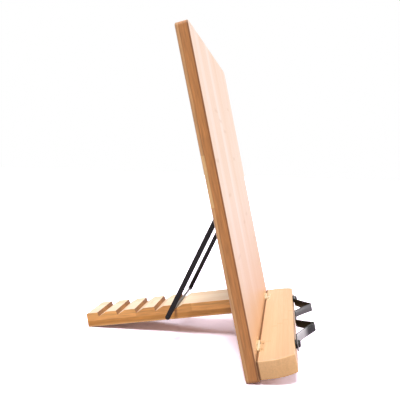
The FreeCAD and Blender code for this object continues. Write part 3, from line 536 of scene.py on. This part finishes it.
@dataclass(frozen=True)
class MetalFinish:
    """Metal with a plated, painted or drawn surface, uneven in tone and sheen.

    The broad noise gives the cloudy tone of plating or paint, and the fine one its grain.
    """

    name: str
    colour: str
    shade: str
    metallic: float
    roughness: tuple[float, float]
    frame: Frame
    cloud: tuple[float, float, float] = (6.0, 6.0, 6.0)
    grain: tuple[float, float, float] = (0.6, 0.6, 0.6)
    relief: float = 0.012
    gloss: float = 0.5

    def build(self) -> Material:
        """Makes the material.

        Returns:
            The metal material.
        """
        material, tree = new_material(self.name)
        coord = add_node(tree, "ShaderNodeTexCoord")
        place = in_frame(tree, coord, self.frame)
        clouds = stretched_noise(tree, place, self.cloud, 3.0, 0.55)
        grain = stretched_noise(tree, place, self.grain, 2.0, 0.5)
        share = add_node(tree, "ShaderNodeMapRange", SMOOTH, {
            "Value": clouds, "From Min": 0.3, "From Max": 0.7})
        colour = add_node(tree, "ShaderNodeMix", COLOURS, {
            "Factor": share.outputs[0], FIRST: linear(self.colour), SECOND: linear(self.shade)})
        with_painted_highlight = self.with_painted_highlight(tree, coord, place, colour.outputs[MIXED])
        halfway = add_node(tree, "ShaderNodeMix", {}, {
            "Factor": 0.5, FIRST_VALUE: clouds, SECOND_VALUE: grain})
        roughness = add_node(tree, "ShaderNodeMapRange", {}, {
            "Value": halfway.outputs[0], "From Min": 0.35, "From Max": 0.65,
            "To Min": self.roughness[0], "To Max": self.roughness[1]})
        bump = add_node(tree, "ShaderNodeBump", {}, {
            "Height": grain, "Strength": 0.35, "Distance": self.relief * MM})
        shader = add_node(tree, "ShaderNodeBsdfPrincipled", {}, {
            "Base Color": with_painted_highlight, "Roughness": roughness.outputs[0],
            "Normal": bump.outputs[0], "Metallic": self.metallic,
            "Specular IOR Level": self.gloss})
        add_node(tree, "ShaderNodeOutputMaterial", {}, {"Surface": shader.outputs[0]})
        return material

    def with_painted_highlight(self, tree: NodeTree, coord: Node, place: NodeSocket,
             colour: NodeSocket) -> NodeSocket:
        """Leaves the colour as it is; a finish with a painted highlight changes it here.

        Args:
            tree: The material's tree; not used here.
            coord: Its texture coordinate node; not used here.
            place: Place in millimetres of the piece's own frame; not used here.
            colour: The colour without wear.
        Returns:
            The colour's socket.
        """
        return colour


@dataclass(frozen=True)
class EnamelWithPaintedHighlight(MetalFinish):
    """Black enamel on spring strip, with a pale painted highlight on the outer side.

    The painted highlight lies on the flat runs and leaves the bend at the peak black.
    """

    # Colour of the painted highlight
    painted_highlight: str = "#C0BBBF"
    # How far from the stand's middle the painted highlight sets in on each run: from, to and share
    rise: tuple[float, float, float] = (43.0, 53.0, 1.0)
    fall: tuple[float, float, float] = (35.0, 30.0, 0.25)
    # How squarely the outer side faces the front
    outward: tuple[float, float] = (-0.3, -0.55)

    def with_painted_highlight(self, tree: NodeTree, coord: Node, place: NodeSocket,
             colour: NodeSocket) -> NodeSocket:
        """Paints a pale highlight on the outer side of both runs.

        Args:
            tree: The material's tree.
            coord: Its texture coordinate node.
            place: Place in millimetres of the board's frame.
            colour: The enamel's colour.
        Returns:
            The colour's socket.
        """
        parts = add_node(tree, "ShaderNodeSeparateXYZ", {}, {0: place})
        out = add_node(tree, "ShaderNodeMath", {"operation": "ABSOLUTE"}, {0: parts.outputs["X"]})
        runs = [add_node(tree, "ShaderNodeMapRange", SMOOTH, {
            "Value": out.outputs[0], "From Min": low, "From Max": high, "To Min": 0.0,
            "To Max": most}) for low, high, most in (self.rise, self.fall)]
        either = add_node(tree, "ShaderNodeMath", {"operation": "MAXIMUM"},
                          {0: runs[0].outputs[0], 1: runs[1].outputs[0]})
        facing = add_node(tree, "ShaderNodeSeparateXYZ", {}, {0: coord.outputs["Normal"]})
        outer = add_node(tree, "ShaderNodeMapRange", SMOOTH, {
            "Value": facing.outputs["Y"], "From Min": self.outward[0],
            "From Max": self.outward[1]})
        level = add_node(tree, "ShaderNodeMath", MULTIPLY,
                         {0: either.outputs[0], 1: outer.outputs[0]})
        # Painted highlight: pale grey mixed into the enamel on the outer side of both runs
        mixed = add_node(tree, "ShaderNodeMix", COLOURS, {
            "Factor": level.outputs[0], FIRST: colour, SECOND: linear(self.painted_highlight)})
        return mixed.outputs[MIXED]


# Sub-assemblies
@dataclass
class WoodenBars:
    """The board, the ledge and the leg, whose CAD nodes keep their shape."""

    board: BambooFinish = field(default_factory=lambda: BambooFinish(
        "laminated_bamboo_board", BOARD_FRAME, Axis.UPWARD, Axis.ACROSS, Axis.BACKWARD,
        strip_width=20.0, strip_start=-120.0, face_light="#F8E2D4", face_dark="#EDCBAE",
        depth=(-13.3, 0.0),
        # The dark front stops are painted shade along the rounded front arris
        plies=((0.0, "#8E5C2E"), (0.12, "#87552A"), (0.16, "#B97B42"), (0.68, "#BD8048"),
               (0.72, "#A46C3A"), (0.76, "#CB9864"), (1.0, "#C89868")),
        pale_piece=(169.0, 218.0, 0.7), pale_tone="#E0B47C", end_tone="#A8703C",
        # Painted shade and warm bounce light from the ledge darken the face's foot
        foot=(190.0, -10.0, 0.9)))
    ledge: BambooFinish = field(default_factory=lambda: BambooFinish(
        "laminated_bamboo_ledge", BOARD_FRAME, Axis.ACROSS, Axis.BACKWARD, Axis.UPWARD,
        strip_width=6.0, strip_start=-13.8, face_light="#DBB58E", face_dark="#CAA077",
        depth=(3.0, 21.5), plies=((0.0, "#DCAE78"), (0.5, "#E2B47E"), (1.0, "#EABD88")),
        pale_piece=(0.0, 60.0, 0.8), pale_tone="#E9C08C", end_tone="#B98552",
        end_share=(0.1, 0.2), bundle=0.9,
        # The gap shade is painted shade of the gap between the ledge's back and the board
        edge_spread=0.1, glue_share=0.1, knuckle_share=0.2, gap_shade=-15.3))
    leg: BambooFinish = field(default_factory=lambda: BambooFinish(
        "laminated_bamboo_leg", LEG_FRAME, Axis.BACKWARD, Axis.ACROSS, Axis.UPWARD,
        strip_width=15.5, strip_start=-23.3, face_light="#FBE4C8", face_dark="#EECCA4",
        depth=(-19.5, -2.6),
        # The pale lowest stop is painted light: the lower edge lit by the floor
        plies=((0.0, "#E2B684"), (0.1, "#D09858"), (0.14, "#C0823C"), (0.4, "#C88A42"),
               (0.46, "#ECAA62"), (1.0, "#F0B26A")),
        pale_piece=(60.0, 130.0, 0.42), pale_tone="#DA9B57", end_tone="#8A5C34",
        end_share=(0.7, 0.95)))

    def build(self) -> None:
        """Dresses the three wooden CAD nodes."""
        dress("back_panel", self.board.build())
        dress("ledge", self.ledge.build())
        dress("support_leg", self.leg.build())


@dataclass
class SteelProp:
    """Two flat arms and the crossbar between them, with their brackets and rivets."""

    arm_place: float = 59.0
    arm_thickness: float = 1.8
    arm_width: float = 5.5
    arm_length: float = 126.6
    arm_easing: float = 0.3
    bar_radius: float = 1.5
    neck_radius: float = 1.1
    head_radius: float = 2.0
    head_height: float = 0.9
    gap: float = 0.05
    # Flat bar stock, painted black: nearly no colour, with a soft sheen
    arm_finish: MetalFinish = field(default_factory=lambda: MetalFinish(
        "black_painted_steel", "#120F0E", "#1B1817", 0.0, (0.34, 0.5), PROP_FRAME,
        cloud=(5.0, 5.0, 22.0), gloss=0.25))
    # Bright drawn wire: fine lines run along the bar
    bar_finish: MetalFinish = field(default_factory=lambda: MetalFinish(
        "drawn_steel_wire", "#8F8782", "#6E6762", 1.0, (0.24, 0.42), PROP_FRAME,
        cloud=(18.0, 3.0, 3.0), grain=(12.0, 0.4, 0.4)))
    # Pressed and zinc plated sheet: pale grey with cloudy sheen
    bracket_finish: MetalFinish = field(default_factory=lambda: MetalFinish(
        "zinc_plated_sheet", "#B9B6B0", "#9C9992", 1.0, (0.26, 0.46), BOARD_FRAME))

    def build(self) -> None:
        """Builds the arms and the crossbar, and dresses what carries them."""
        arm, bar, bracket = (finish.build() for finish in
                             (self.arm_finish, self.bar_finish, self.bracket_finish))
        for side, word in ((-1, "left"), (1, "right")):
            finish_piece(self.arm(side), f"flat_arm_{word}", arm, "prop",
                         (f"prop_arm_{word}",))
            dress(f"prop_bracket_{word}", bracket)
            dress(f"prop_pivot_rivet_{word}", bracket)
        rod = finish_piece(self.crossbar(), "round_crossbar", bar, "prop",
                           ("prop_crossbar",), sharp=30.0)
        # The heads are peened first and painted with the arms
        rod.data.materials.append(arm)
        for face in rod.data.polygons:
            face.material_index = int(abs(face.center.x) > self.arm_place * MM)
        dress("prop_bracket_screws", bracket)

    def arm(self, side: int) -> BMesh:
        """A flat bar with two round ends and eased edges.

        Args:
            side: -1 for the left arm, 1 for the right one.
        Returns:
            The arm in the row frame.
        """
        work = bmesh.new()
        start = (self.arm_place * side - self.arm_thickness / 2) * MM
        for height in (0.0, -self.arm_length):
            place = Matrix.Translation((start, 0, height * MM)) @ Matrix.Rotation(math.pi / 2, 4, "Y")
            bmesh.ops.create_circle(work, segments=48, radius=self.arm_width / 2 * MM, matrix=place)
        outline = bmesh.ops.convex_hull(work, input=work.verts)
        unused = {item for item in outline["geom_interior"] + outline["geom_unused"]
                  if isinstance(item, BMVert)}
        bmesh.ops.delete(work, geom=list(unused), context="VERTS")
        bmesh.ops.dissolve_limit(work, angle_limit=0.01, verts=work.verts, edges=work.edges)
        for spare in list(work.faces)[1:]:
            work.faces.remove(spare)
        pushed = bmesh.ops.extrude_face_region(work, geom=list(work.faces))
        moved = [item for item in pushed["geom"] if isinstance(item, BMVert)]
        bmesh.ops.translate(work, verts=moved, vec=(self.arm_thickness * MM, 0, 0))
        ease_rims(work, self.arm_easing, 3)
        bmesh.ops.transform(work, matrix=PROP_FRAME.matrix(), verts=work.verts)
        return work

    def crossbar(self) -> BMesh:
        """A wire with a shouldered neck and a peened head at each end.

        Returns:
            The crossbar in the row frame.
        """
        shoulder = self.arm_place - self.arm_thickness / 2 - self.gap
        outer = self.arm_place + self.arm_thickness / 2 + self.gap
        end = outer + self.head_height
        half = [(end, 0.0), (end - 0.06, self.head_radius * 0.45), (end - 0.22, self.head_radius * 0.75),
                (end - 0.5, self.head_radius * 0.96), (outer + 0.15, self.head_radius),
                (outer, self.head_radius * 0.95), (outer, self.neck_radius),
                (shoulder, self.neck_radius), (shoulder, self.bar_radius * 0.86),
                (shoulder - 0.2, self.bar_radius)]
        other = [(-along, radius) for along, radius in reversed(half)]
        work = turned_profile(half + other)
        drop = Matrix.Translation((0, 0, -self.arm_length * MM))
        bmesh.ops.transform(work, matrix=PROP_FRAME.matrix() @ drop, verts=work.verts)
        return work


@dataclass
class PageClips:
    """Two bent black strips that hold the pages, each on a washer and a screw."""

    place: float = 76.0
    front: float = -51.2
    height: float = 15.9
    plate: float = 1.3
    lift: float = 0.1
    width: float = 9.5
    tip_width: float = 7.6
    back_end: float = 9.0
    foot: float = 14.0
    peak: float = 43.0
    rise: float = 20.5
    back_down: float = 60.0
    reach: float = 72.0
    bend: float = 2.25
    bow: float = 0.5
    run_steps: int = 8
    bend_steps: int = 10
    end_steps: int = 12
    end_rounding: float = 0.985
    easing: float = 0.22
    # Spring strip, black enamelled: very dark with a sharp gloss, and a painted highlight on its runs
    strip_finish: MetalFinish = field(default_factory=lambda: EnamelWithPaintedHighlight(
        "black_enamelled_spring_steel", "#0B0909", "#131010", 0.0, (0.18, 0.28), BOARD_FRAME,
        cloud=(14.0, 8.0, 8.0), grain=(0.9, 0.9, 0.9), gloss=0.3))
    # Blackened screw: as dark as the strip, with a duller sheen
    screw_finish: MetalFinish = field(default_factory=lambda: MetalFinish(
        "blackened_screw_steel", "#141110", "#1E1A18", 0.0, (0.3, 0.46), BOARD_FRAME,
        cloud=(2.0, 2.0, 2.0), gloss=0.35))
    # Moulded nylon washer: matt black
    washer_finish: MetalFinish = field(default_factory=lambda: MetalFinish(
        "black_moulded_nylon", "#12100F", "#1A1716", 0.0, (0.45, 0.6), BOARD_FRAME, gloss=0.3))

    def build(self) -> None:
        """Builds both clips and dresses their screws and washers."""
        strip, screw, washer = (finish.build() for finish in
                                (self.strip_finish, self.screw_finish, self.washer_finish))
        for side, word in ((-1, "left"), (1, "right")):
            finish_piece(self.strip(side), f"bent_clip_{word}", strip, f"clip_{word}",
                         (f"page_clip_{word}",), sharp=50.0)
            dress(f"clip_screw_{word}", screw)
            dress(f"clip_washer_{word}", washer)

    def strip(self, side: int) -> BMesh:
        """A strip bent along its length, rounded at both ends and narrower past its peak.

        Args:
            side: -1 for the left clip, 1 for the right one.
        Returns:
            The clip in the row frame.
        """
        middle = self.lift + self.plate / 2
        work = self.bent_sheet(middle)
        self.round_ends(work)
        bmesh.ops.recalc_face_normals(work, faces=work.faces)
        bmesh.ops.solidify(work, geom=list(work.faces), thickness=self.plate * MM)
        self.centre_plate(work, middle)
        ease_rims(work, self.easing, 2, 60.0)
        board = BOARD_FRAME.matrix()
        spot = Matrix.Translation((self.place * side * MM, self.front * MM, self.height * MM))
        stand_up = Matrix.Rotation(math.pi / 2, 4, "X")
        inwards = Matrix.Rotation(0 if side < 0 else math.pi, 4, "Z")
        bmesh.ops.transform(work, matrix=board @ spot @ stand_up @ inwards, verts=work.verts)
        return work

    def bent_sheet(self, middle: float) -> BMesh:
        """Draws an edge along the strip's path into a sheet of straight runs and round bends.

        Args:
            middle: Height of the plate's middle above the washer in millimetres.
        Returns:
            The sheet, one face wide and without thickness.
        """
        corners = [Vector((-self.back_end, 0, middle)), Vector((self.foot, 0, middle)),
                   Vector((self.peak, 0, middle + self.rise)), Vector((self.back_down, 0, middle)),
                   Vector((self.reach, 0, middle))]
        work = bmesh.new()
        half = self.width / 2
        ends = [work.verts.new((corners[0].x * MM, y * MM, middle * MM)) for y in (-half, half)]
        last = work.edges.new(ends)
        here = corners[0]
        for before, corner, after in zip(corners, corners[1:], corners[2:]):
            arriving, leaving = (corner - before).normalized(), (after - corner).normalized()
            turn = arriving.angle(leaving)
            setback = self.bend * math.tan(turn / 2)
            run = corner - arriving * setback - here
            # Each sloping run sags a little towards the ledge
            slopes = abs(arriving.z) > 0.01
            sag = Vector((arriving.z, 0, -arriving.x)) * (self.bow if slopes else 0.0)
            for part in range(self.run_steps):
                low, high = (1 - (2 * step / self.run_steps - 1) ** 2 for step in (part, part + 1))
                last = self.extruded(work, last, run / self.run_steps + sag * (high - low))
            inward = (leaving - arriving).normalized()
            centre = corner + inward * (self.bend / math.cos(turn / 2))
            axis = arriving.cross(leaving).normalized()
            bent = bmesh.ops.spin(work, geom=[*last.verts, last], cent=centre * MM, axis=axis,
                                  angle=turn, steps=self.bend_steps, use_duplicate=False)
            last = next(item for item in bent["geom_last"] if isinstance(item, BMEdge))
            here = corner + leaving * setback
        last = self.extruded(work, last, corners[-1] - here)
        bmesh.ops.remove_doubles(work, verts=work.verts, dist=1e-7)
        return work

    @staticmethod
    def extruded(work: BMesh, edge: BMEdge, step: Vector) -> BMEdge:
        """Draws an edge out into a flat run.

        Args:
            work: The shape.
            edge: The edge to draw out.
            step: How far, in millimetres.
        Returns:
            The run's far edge.
        """
        drawn = bmesh.ops.extrude_edge_only(work, edges=[edge])["geom"]
        moved = [item for item in drawn if isinstance(item, BMVert)]
        bmesh.ops.translate(work, verts=moved, vec=step * MM)
        return next(item for item in drawn if isinstance(item, BMEdge) and set(item.verts) == set(moved))

    def round_ends(self, work: BMesh) -> None:
        """Rounds the four corners and narrows the strip past its peak.

        Args:
            work: The bent strip, one face wide.
        """
        low = min(vert.co.x for vert in work.verts)
        high = max(vert.co.x for vert in work.verts)
        corners = [vert for vert in work.verts
                   if abs(vert.co.x - low) < 1e-6 or abs(vert.co.x - high) < 1e-6]
        bmesh.ops.bevel(work, geom=corners, offset=self.width / 2 * self.end_rounding * MM,
                        offset_type="OFFSET", segments=self.end_steps, profile=0.5,
                        affect="VERTICES", clamp_overlap=True, material=-1)
        for vert in work.verts:
            past = max(0.0, vert.co.x / MM - self.peak) / (self.reach - self.tip_width / 2 - self.peak)
            vert.co.y *= 1 - min(past, 1.0) * (1 - self.tip_width / self.width)

    def centre_plate(self, work: BMesh, middle: float) -> None:
        """Puts the strip's under face back on its seat after it got its thickness.

        Args:
            work: The solid strip.
            middle: Height of the plate's middle above the washer in millimetres.
        """
        lowest = min(vert.co.z for vert in work.verts)
        bmesh.ops.translate(work, verts=work.verts,
                            vec=(0, 0, (middle - self.plate / 2) * MM - lowest))


@dataclass
class Hinges:
    """The leg's hinge and the ledge's two small ones."""

    # Brass plated steel: nearly the bamboo's own tone, with a soft sheen
    bright: MetalFinish = field(default_factory=lambda: MetalFinish(
        "brass_plated_steel", "#FCEBCB", "#F2D9AE", 1.0, (0.24, 0.4), BOARD_FRAME))
    # Brass plated screws, a shade darker than the leaves
    screws: MetalFinish = field(default_factory=lambda: MetalFinish(
        "brass_plated_screws", "#E4C798", "#CBAA78", 1.0, (0.28, 0.44), BOARD_FRAME,
        cloud=(2.5, 2.5, 2.5)))

    def build(self) -> None:
        """Dresses the leaves, the pins and the screws."""
        bright, screws = self.bright.build(), self.screws.build()
        for name in ("leg_hinge_panel_leaf", "leg_hinge_leg_leaf", "leg_hinge_pin"):
            dress(name, bright)
        for word in ("left", "right"):
            for part in ("panel_leaf", "ledge_leaf", "pin"):
                dress(f"ledge_hinge_{word}_{part}", bright)
        for name in ("leg_hinge_panel_screws", "leg_hinge_leg_screws",
                     "ledge_hinge_panel_screws", "ledge_hinge_ledge_screws"):
            dress(name, screws)


# Studio
@dataclass(frozen=True)
class Lamp:
    """A soft lamp far away from the stand."""

    name: str
    # Direction from the stand to the lamp
    towards: tuple[float, float, float]
    # How wide the lamp looks from the stand, in degrees
    width: float
    # Its strength on a surface that faces it
    strength: float
    tone: str = "#FFFFFF"

    def hang(self) -> None:
        """Adds the lamp to the scene."""
        data = bpy.data.lights.new(self.name, "SUN")
        data.angle = math.radians(self.width)
        data.energy = self.strength
        data.color = linear(self.tone)[:3]
        lamp = bpy.data.objects.new(self.name, data)
        lamp.location = self.towards
        lamp.rotation_euler = (-Vector(self.towards)).to_track_quat("-Z", "Y").to_euler()
        bpy.context.scene.collection.objects.link(lamp)


@dataclass
class Studio:
    """A white table in soft light, seen from the photo's camera."""

    eye: tuple[float, float, float] = (-519.95, -95.26, 207.42)
    heading: float = 10.6994
    dip: float = 5.5349
    roll: float = 1.7227
    lens: float = 39.2607
    sky: float = 0.08
    sky_tone: str = "#FFEFF0"
    floor_size: float = 6.0
    floor_drop: float = 0.05
    floor_tone: str = "#F0E6F6"
    floor_bounce: str = "#B2AAAE"
    # How much brighter the camera sees the floor than the floor lights the stand
    floor_gain: float = 2.15
    lamps: tuple[Lamp, ...] = (
        Lamp("left_key", (-0.52, 0.06, 0.85), 18.0, 2.8),
        Lamp("right_key", (0.48, 0.10, 0.87), 30.0, 0.95),
        Lamp("overhead", (-0.04, 0.0, 1.0), 60.0, 0.5, "#FFF4F6"),
        Lamp("front_fill", (0.10, -0.82, 0.54), 32.0, 0.9),
        Lamp("low_right", (0.44, -0.90, 0.05), 13.0, 0.75),
        Lamp("low_left", (-0.19, -0.98, 0.05), 12.0, 0.3),
    )

    def build(self) -> None:
        """Sets up the camera, the floor, the sky and the lamps."""
        scene = bpy.context.scene
        scene.view_settings.view_transform = "Standard"
        scene.camera = self.camera()
        scene.world = self.sky_light()
        self.floor()
        for lamp in self.lamps:
            lamp.hang()

    def camera(self) -> Object:
        """Makes the camera at the photo's viewpoint.

        Returns:
            The camera.
        """
        yaw, dip, roll = (math.radians(angle) for angle in (self.heading, self.dip, self.roll))
        ahead = Vector((math.cos(yaw) * math.cos(dip), math.sin(yaw) * math.cos(dip), -math.sin(dip)))
        level = Vector((math.sin(yaw), -math.cos(yaw), 0))
        upright = level.cross(ahead)
        right = level * math.cos(roll) + upright * math.sin(roll)
        up = upright * math.cos(roll) - level * math.sin(roll)
        data = bpy.data.cameras.new("viewpoint")
        data.lens = self.lens
        data.sensor_width = 36.0
        data.clip_start = 0.01
        data.clip_end = 50.0
        camera = bpy.data.objects.new("viewpoint", data)
        turned = Matrix((right, up, -ahead)).transposed().to_4x4()
        camera.matrix_world = Matrix.Translation(Vector(self.eye) * MM) @ turned
        bpy.context.scene.collection.objects.link(camera)
        return camera

    def sky_light(self) -> bpy.types.World:
        """Makes a sky that lights evenly and looks white to the camera and to gloss.

        Returns:
            The world.
        """
        world = bpy.data.worlds.new("white_sky")
        world.use_nodes = True
        tree = world.node_tree
        tree.nodes.clear()
        seen = self.seen_directly(tree)
        light = add_node(tree, "ShaderNodeBackground", {}, {
            "Color": linear(self.sky_tone), "Strength": self.sky})
        white = add_node(tree, "ShaderNodeBackground", {}, {
            "Color": linear("#FFFFFF"), "Strength": 1.0})
        both = add_node(tree, "ShaderNodeMixShader", {}, {
            0: seen, 1: light.outputs[0], 2: white.outputs[0]})
        add_node(tree, "ShaderNodeOutputWorld", {}, {"Surface": both.outputs[0]})
        return world

    @staticmethod
    def seen_directly(tree: NodeTree) -> NodeSocket:
        """Adds what tells camera, glossy and transmission rays from the rest.

        Args:
            tree: The floor's or the world's tree.
        Returns:
            A socket that is one for those rays.
        """
        path = add_node(tree, "ShaderNodeLightPath")
        direct = add_node(tree, "ShaderNodeMath", {"operation": "MAXIMUM"}, {
            0: path.outputs["Is Camera Ray"], 1: path.outputs["Is Glossy Ray"]})
        every = add_node(tree, "ShaderNodeMath", {"operation": "MAXIMUM"}, {
            0: direct.outputs[0], 1: path.outputs["Is Transmission Ray"]})
        return every.outputs[0]

    def floor(self) -> None:
        """Lays the table top, which looks white outside the stand's shadow."""
        material, tree = new_material("white_table_laminate")
        tone = add_node(tree, "ShaderNodeMix", COLOURS, {
            "Factor": self.seen_directly(tree), FIRST: linear(self.floor_bounce),
            SECOND: linear(self.floor_tone)})
        path = add_node(tree, "ShaderNodeLightPath")
        gain = add_node(tree, "ShaderNodeMapRange", {}, {
            "Value": path.outputs["Is Camera Ray"], "To Min": 1.0, "To Max": self.floor_gain})
        shown = add_node(tree, "ShaderNodeVectorMath", {"operation": "SCALE"},
                         {0: tone.outputs[MIXED], "Scale": gain.outputs[0]})
        matt = add_node(tree, "ShaderNodeBsdfDiffuse", {}, {"Color": shown.outputs[0]})
        add_node(tree, "ShaderNodeOutputMaterial", {}, {"Surface": matt.outputs[0]})
        work = bmesh.new()
        bmesh.ops.create_grid(work, x_segments=1, y_segments=1, size=self.floor_size)
        bmesh.ops.translate(work, verts=work.verts, vec=(0, 0, -self.floor_drop * MM))
        mesh = bpy.data.meshes.new("table_top")
        work.to_mesh(mesh)
        work.free()
        mesh.materials.append(material)
        table = bpy.data.objects.new("table_top", mesh)
        bpy.context.scene.collection.objects.link(table)


def main() -> None:
    """Builds the sub-assemblies and the studio in order."""
    for assembly in (WoodenBars(), SteelProp(), PageClips(), Hinges(), Studio()):
        assembly.build()
        log.info("%s done", type(assembly).__name__)


if __name__ == "__main__":
    main()
